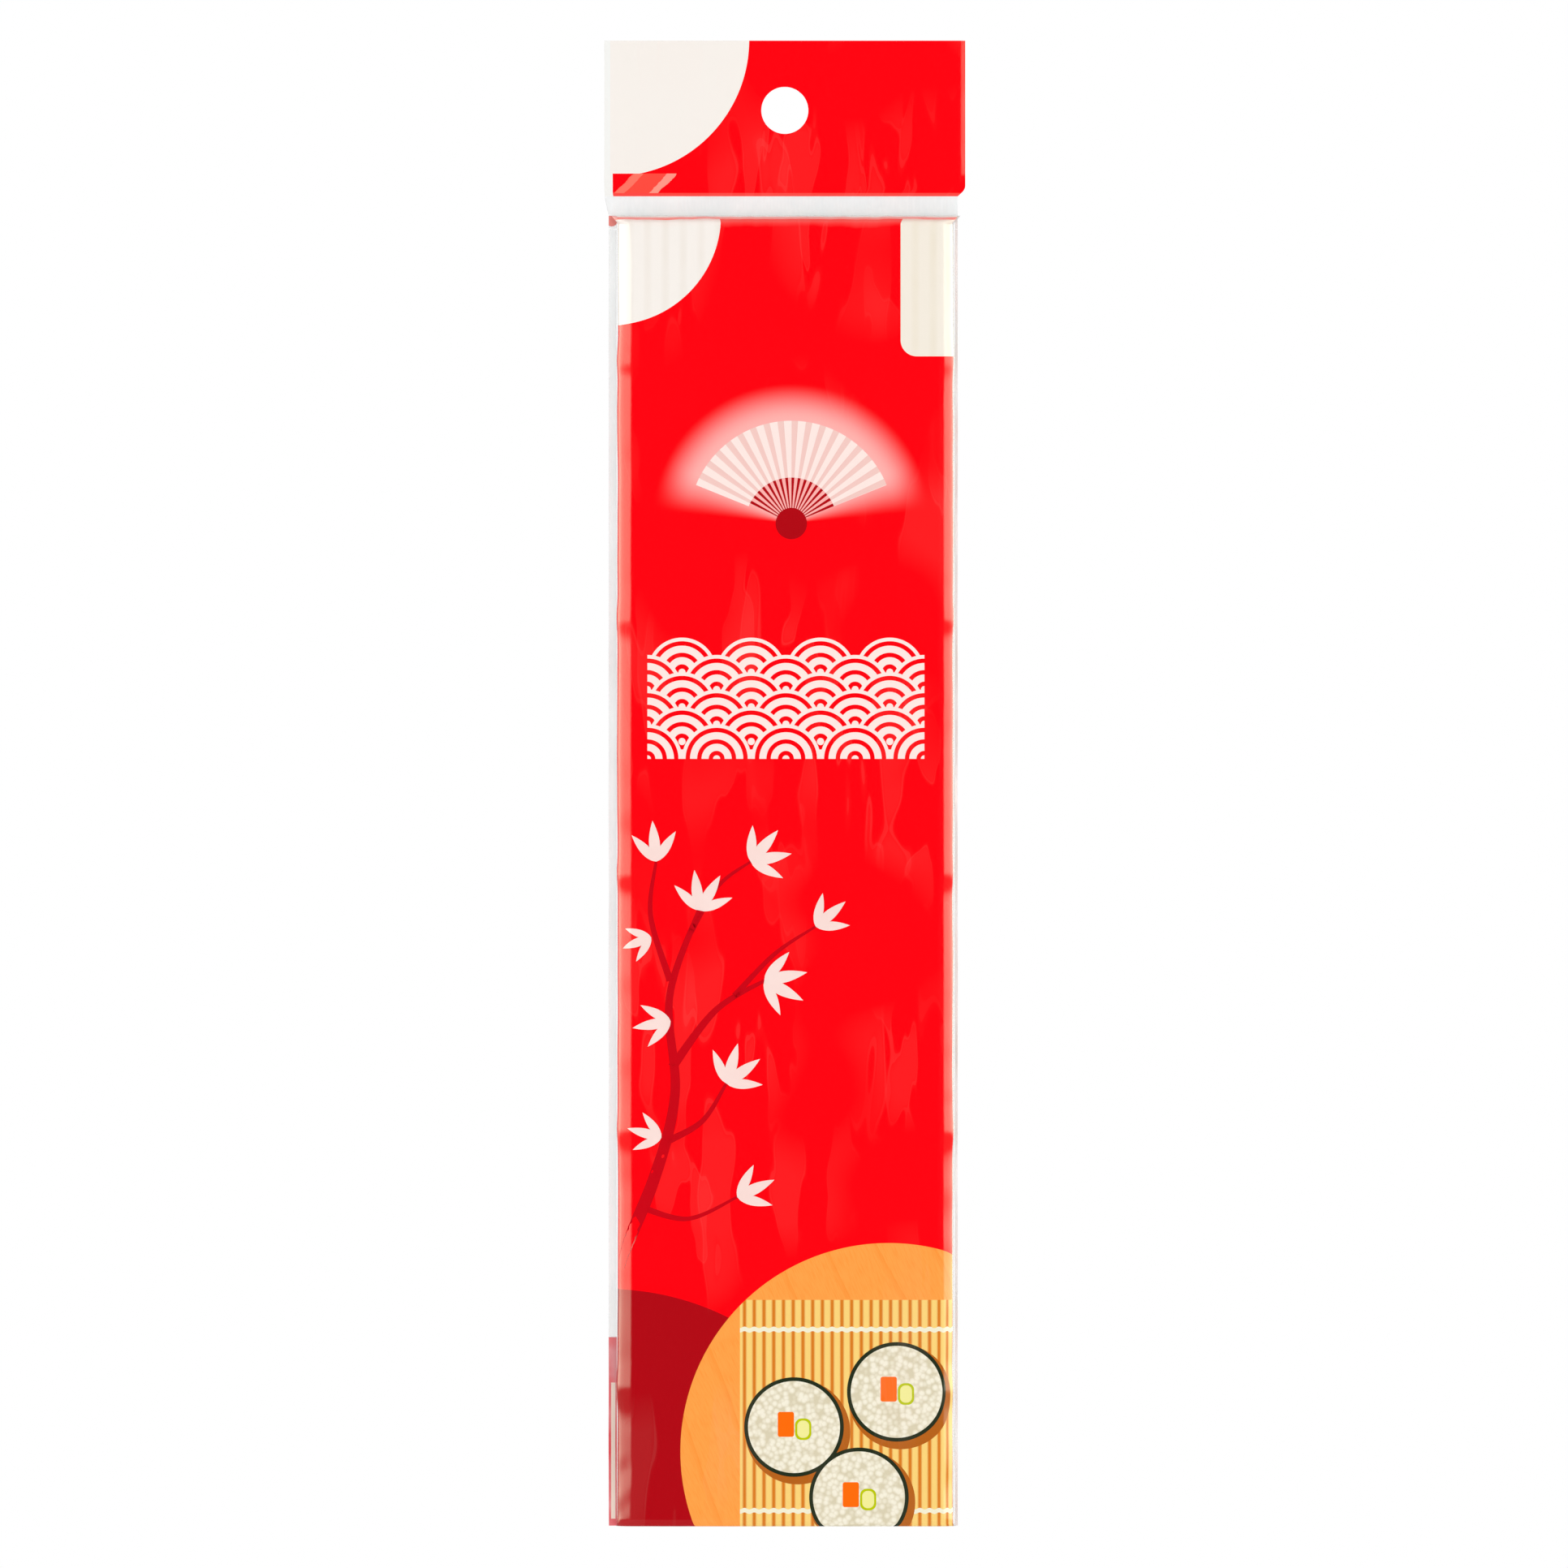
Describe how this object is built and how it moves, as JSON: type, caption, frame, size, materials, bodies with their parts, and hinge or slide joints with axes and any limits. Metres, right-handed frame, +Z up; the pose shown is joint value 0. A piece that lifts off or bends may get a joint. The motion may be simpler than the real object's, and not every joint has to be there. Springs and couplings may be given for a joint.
{
  "type": "sushi rolling mat",
  "caption": "Bamboo slat rolling mat twined with cotton cord, rolled flat and sealed in a slim printed film bag whose header has a round hole to hang it by.",
  "frame": {"origin": "centre of the hanging hole, halfway through the two header films", "axes": "+Z up along the slats as the pack hangs, +X to the right seen from the front, +Y through the hole towards the back; the printed front faces -Y"},
  "size_m": [0.0668, 0.0098, 0.2748],
  "materials": {
    "bag_film": "clear film printed red on its inner face, glossy",
    "header_film": "two films together, printed red, glossy",
    "clear_film": "unprinted clear film, glossy",
    "seal_film": "crimped, whitened by heat",
    "bamboo": "split bamboo, smooth, uncoated",
    "cotton_cord": "unbleached twisted cotton, matt"
  },
  "bodies": {
    "header": {"header_front_film": "header_film", "header_back_film": "header_film"},
    "seal": {"fold_line": "seal_film", "crimp_seal": "seal_film", "front_shoulder": "bag_film", "back_shoulder": "bag_film"},
    "bag": {"front_film": "bag_film", "back_film": "bag_film", "left_side_weld": "clear_film", "right_side_weld": "clear_film", "bottom_fold": "bag_film"},
    "mat": {"slat_01_02": "bamboo", "slat_03_04": "bamboo", "slat_05_06": "bamboo", "slat_07_08": "bamboo", "slat_09_10": "bamboo", "slat_11_12": "bamboo", "slat_13_14": "bamboo", "slat_15_16": "bamboo", "slat_17_18": "bamboo", "slat_19_20": "bamboo", "slat_21_22": "bamboo", "slat_23_24": "bamboo", "slat_25_26": "bamboo", "slat_27_28": "bamboo", "slat_29_30": "bamboo", "slat_31_32": "bamboo", "slat_33_34": "bamboo", "slat_35_36": "bamboo", "slat_37_38": "bamboo", "slat_39_40": "bamboo", "slat_41_42": "bamboo", "slat_43_44": "bamboo", "slat_45_46": "bamboo", "slat_47_48": "bamboo", "slat_49_50": "bamboo", "slat_51_52": "bamboo", "slat_53_54": "bamboo", "slat_55_56": "bamboo", "slat_57_58": "bamboo", "slat_59_60": "bamboo", "slat_61_62": "bamboo", "slat_63_64": "bamboo", "slat_65_66": "bamboo", "slat_67_68": "bamboo", "slat_69": "bamboo", "cord_1a": "cotton_cord", "cord_1b": "cotton_cord", "cord_2a": "cotton_cord", "cord_2b": "cotton_cord", "cord_3a": "cotton_cord", "cord_3b": "cotton_cord", "cord_4a": "cotton_cord", "cord_4b": "cotton_cord", "cord_5a": "cotton_cord", "cord_5b": "cotton_cord", "inner_end_knots": "cotton_cord", "outer_end_knots": "cotton_cord"}
  },
  "joints": [
    {"name": "header_fold", "type": "hinge", "parent": "header", "child": "seal", "pos_m": [0, 0, -0.0156], "axis": [1, 0, 0], "range_deg": [-90, 90]},
    {"name": "tear_off", "type": "slide", "parent": "seal", "child": "bag", "axis": [0, 0, -1], "range_m": [0, 0.3]},
    {"name": "mat_draw", "type": "slide", "parent": "bag", "child": "mat", "axis": [0, 0, 1], "range_m": [0, 0.25]}
  ],
  "couplings": [
    {"joint": "mat_draw", "follows": "tear_off", "ratio": 0.8333}
  ]
}
